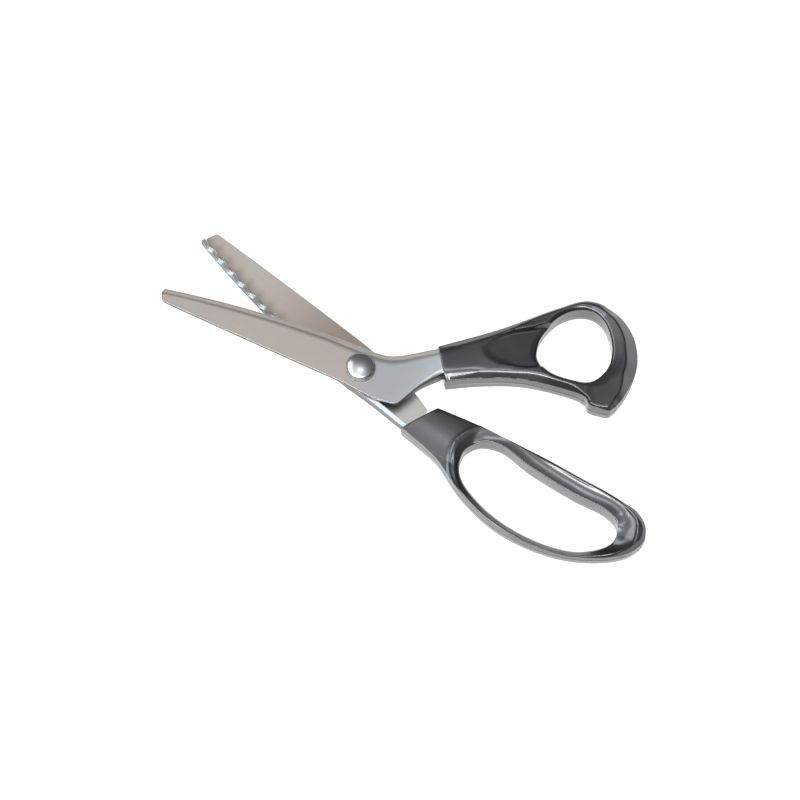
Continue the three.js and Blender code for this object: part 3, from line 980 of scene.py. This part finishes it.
def painted_rim_shade(tree, x, y, paint):
    """Painted shade at the foot of the toothed rim, scalloped once for each tooth as a painted reflection of
    the teeth; painted shade near the pivot under the other blade; a plain grey on the tang behind the pivot.
    """
    reach = math_node(tree, "DIVIDE", x, TIP_RADIUS * MM)
    fall = math_node(tree, "MULTIPLY", math_node(tree, "POWER", reach, 2.0), (CUT_BULGE + REAR_TIP_DROP) * MM)
    line = math_node(tree, "SUBTRACT", CUT_BULGE * MM, fall)
    depth = math_node(tree, "SUBTRACT", line, y)
    squares = math_node(tree, "ADD", math_node(tree, "POWER", x, 2.0), math_node(tree, "POWER", y, 2.0))
    past_crest = math_node(tree, "SUBTRACT", math_node(tree, "SQRT", squares), CREST_RADIUS * MM)
    wave = math_node(tree, "SINE", math_node(tree, "MULTIPLY", past_crest, math.pi / (PITCH * MM)))
    scallop = math_node(tree, "MULTIPLY", math_node(tree, "ABSOLUTE", wave), SCALLOP * MM)
    depth = math_node(tree, "ADD", depth, scallop)
    share = smooth_step(tree, depth, (SHEET + 0.5) * MM, (SHEET + RIM_SHADE_WIDTH) * MM)
    # painted shade at the rim's foot, with scallops that are a painted reflection of the teeth
    rim_shade = blend_colors(tree, share, RIM_FOOT_SHADE, paint)
    # painted shade near the pivot, where the other blade lies over the rear one
    hidden = smooth_step(tree, x, 0.012, 0.062)
    dusk = blend_colors(tree, hidden, DUSK, rim_shade)
    behind = smooth_step(tree, x, -0.010, -0.002)
    return blend_colors(tree, behind, TANG_GREY, dusk)


def ground_steel(name, color):
    """The ground zigzag rims: brighter, with marks across."""
    material, tree, shader = new_material(name, color, 1.0, 0.24)
    marks = noise(tree, 2600, 2, (1, 0.08, 1))
    tree.links.new(ramp(tree, marks, 0.24, 0.36), shader.inputs["Roughness"])
    bump(tree, shader, marks, 0.1, FINE)
    return material


def polished_steel():
    """The bolt, nut and spring: bright, slightly cloudy steel."""
    material, tree, shader = new_material("polished_steel", BOLT_GREY, 1.0, 0.28)
    cloud = noise(tree, 260, 3)
    tree.links.new(ramp(tree, cloud, 0.24, 0.32), shader.inputs["Roughness"])
    fine = noise(tree, 1400, 3)
    bump(tree, shader, fine, 0.05, FINE)
    return material


def black_plastic():
    """Glossy black moulding with a faint ripple and slightly uneven gloss."""
    material, tree, shader = new_material("black_plastic", (0.009, 0.009, 0.010), 0.0, 0.2)
    shader.inputs["Specular IOR Level"].default_value = 0.8
    cloud = noise(tree, 120, 3)
    tree.links.new(ramp(tree, cloud, 0.15, 0.25), shader.inputs["Roughness"])
    tint = ramp(tree, noise(tree, 90, 2), (0.007, 0.007, 0.008), (0.011, 0.011, 0.012))
    tree.links.new(tint, shader.inputs["Base Color"])
    ripple = noise(tree, 1100, 3)
    bump(tree, shader, ripple, 0.03, FINE)
    return material


# ---- assembly ----
def finish_piece(obj, body, slot, *materials):
    """Gives a piece its materials, in the order of its finishes, and its body; the slot argument is not used.
    """
    for material in materials:
        obj.data.materials.append(material)
    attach(obj, body)


rear = rear_blade()
front = front_blade()
finger = finger_handle()
thumb = thumb_handle()
bolt = pivot_bolt()
washer = head_washer()
nut = pivot_nut()
bush = spacer_bush()
spring = spring_washer()

rims = ground_steel("ground_rim", SILVER)
# rougher bend steel whose colour is a painted reflection tone
bend_paint = satin_steel("bend_rough_painted_tone", 0, BEND_REFLECTION_TONE, roughness=0.42)
# dark copy of the steel: painted shade on edges and walls
edges = satin_steel("edge_painted_shade", 0, EDGE_SHADE_GREY, roughness=0.4)
rear_satin = satin_steel("rear_satin", 0, PALE, rim_shaded=True)
finish_piece(rear, "rear_half", "blade_steel", rear_satin, rims, bend_paint, edges)
front_satin = satin_steel("front_satin", OPEN_DEG, BEIGE, front_with_shank_reflection=True)
finish_piece(front, "front_half", "blade_steel", front_satin, rims, bend_paint, edges)
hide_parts("rear_blade")
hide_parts("front_blade")
plastic = black_plastic()
finish_piece(finger, "rear_half", "handle_plastic", plastic)
finish_piece(thumb, "front_half", "handle_plastic", plastic)
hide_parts("finger_handle")
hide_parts("thumb_handle")
chrome = polished_steel()
for piece in (bolt, nut, spring):
    finish_piece(piece, "rear_half", "polished_steel", chrome)
# the head washer's dark colour is painted shade under the dome's rim
washer_painted_shade = satin_steel("washer_painted_shade", 0, WASHER_SHADE_GREY, roughness=0.4)
finish_piece(washer, "rear_half", "polished_steel", washer_painted_shade)
finish_piece(bush, "rear_half", "blade_steel", satin_steel("bush_steel", 0, BEIGE))


# ---- floor, light and camera ----
CAMERA_AZIMUTH = 220.6
CAMERA_ELEVATION = 70.0
CAMERA_DISTANCE = 1.2
LENS_MM = 126.6
AIM_RIGHT = 0.01685       # where the camera looks, from the pivot as it sees it, in metres
AIM_DOWN = 0.01416
LAMP_DISTANCE = 1.6
SKY_STRENGTH = 2.2
SKY_TURN = -45            # brightest part of the sky from the camera's azimuth
SKY_TILT = 70             # and its elevation
SKY_TINT = (0.98, 0.99, 1.03)
SKY_STOPS = ((0.0, 0.12), (0.5, 0.14), (0.7, 0.24), (0.8, 0.44), (0.9, 0.75), (1.0, 1.0))


def pale_floor():
    bpy.ops.mesh.primitive_plane_add(size=8, location=(0, 0, -0.0002))
    floor = bpy.context.object
    floor.name = "floor"
    material, _, shader = new_material("pale_floor", (0.3, 0.3, 0.3), 0.0, 0.9)
    shader.inputs["Specular IOR Level"].default_value = 0.1
    shader.inputs["Emission Color"].default_value = (1, 1, 1, 1)
    shader.inputs["Emission Strength"].default_value = 0.9
    floor.data.materials.append(material)


def view_axes(azimuth, elevation):
    """Unit directions back to a viewer, to its right and up, for an azimuth and elevation."""
    a, e = math.radians(azimuth), math.radians(elevation)
    back = Vector((math.sin(a) * math.cos(e), -math.cos(a) * math.cos(e), math.sin(e)))
    right = Vector((math.cos(a), math.sin(a), 0))
    return back, right, back.cross(right)


def placed(location, right, up, back):
    return Matrix.Translation(location) @ Matrix((right, up, back)).transposed().to_4x4()


def add_camera():
    back, right, up = view_axes(CAMERA_AZIMUTH, CAMERA_ELEVATION)
    head = Vector((0, 0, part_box("head_washer")[1].z))
    target = head + right * AIM_RIGHT - up * AIM_DOWN
    data = bpy.data.cameras.new("camera")
    data.lens = LENS_MM
    data.sensor_width = 36
    data.clip_end = 20
    camera = bpy.data.objects.new("camera", data)
    camera.matrix_world = placed(target + back * CAMERA_DISTANCE, right, up, back)
    bpy.context.collection.objects.link(camera)
    bpy.context.scene.camera = camera


def sky():
    """A plain studio: pale overhead, darker towards the horizon."""
    world = bpy.data.worlds.new("studio")
    bpy.context.scene.world = world
    world.use_nodes = True
    tree = world.node_tree
    background = tree.nodes["Background"]
    place = tree.nodes.new("ShaderNodeTexCoord")
    toward = tree.nodes.new("ShaderNodeVectorMath")
    toward.operation = "DOT_PRODUCT"
    toward.inputs[1].default_value = view_axes(CAMERA_AZIMUTH + SKY_TURN, SKY_TILT)[0]
    tree.links.new(place.outputs["Generated"], toward.inputs[0])
    node = tree.nodes.new("ShaderNodeValToRGB")
    while len(node.color_ramp.elements) < len(SKY_STOPS):
        node.color_ramp.elements.new(0.5)
    for element, (position, value) in zip(node.color_ramp.elements, SKY_STOPS):
        element.position = position
        element.color = (*(value * tint for tint in SKY_TINT), 1)
    tree.links.new(toward.outputs["Value"], node.inputs["Fac"])
    tree.links.new(node.outputs["Color"], background.inputs["Color"])
    background.inputs["Strength"].default_value = SKY_STRENGTH


def softbox(name, turn, elevation, wide_deg, high_deg, radiance, color):
    """A rectangular light that fills the given angles, its turn measured from the camera's azimuth."""
    back, right, up = view_axes(CAMERA_AZIMUTH + turn, elevation)
    data = bpy.data.lights.new(name, "AREA")
    data.shape = "RECTANGLE"
    data.size = 2 * LAMP_DISTANCE * math.tan(math.radians(wide_deg / 2))
    data.size_y = 2 * LAMP_DISTANCE * math.tan(math.radians(high_deg / 2))
    data.energy = radiance * math.pi * data.size * data.size_y
    data.color = color
    lamp = bpy.data.objects.new(name, data)
    lamp.matrix_world = placed(back * LAMP_DISTANCE, right, up, back)
    bpy.context.collection.objects.link(lamp)


pale_floor()
add_camera()
sky()
softbox("front_softbox", -14, 50, 46, 12, 20.0, (0.93, 0.97, 1.0))
softbox("left_softbox", -90, 42, 70, 26, 5.0, (0.85, 0.94, 1.0))
softbox("top_softbox", 0, 88, 16, 12, 6.0, (0.82, 0.93, 1.0))
bpy.context.scene.view_settings.view_transform = "Standard"
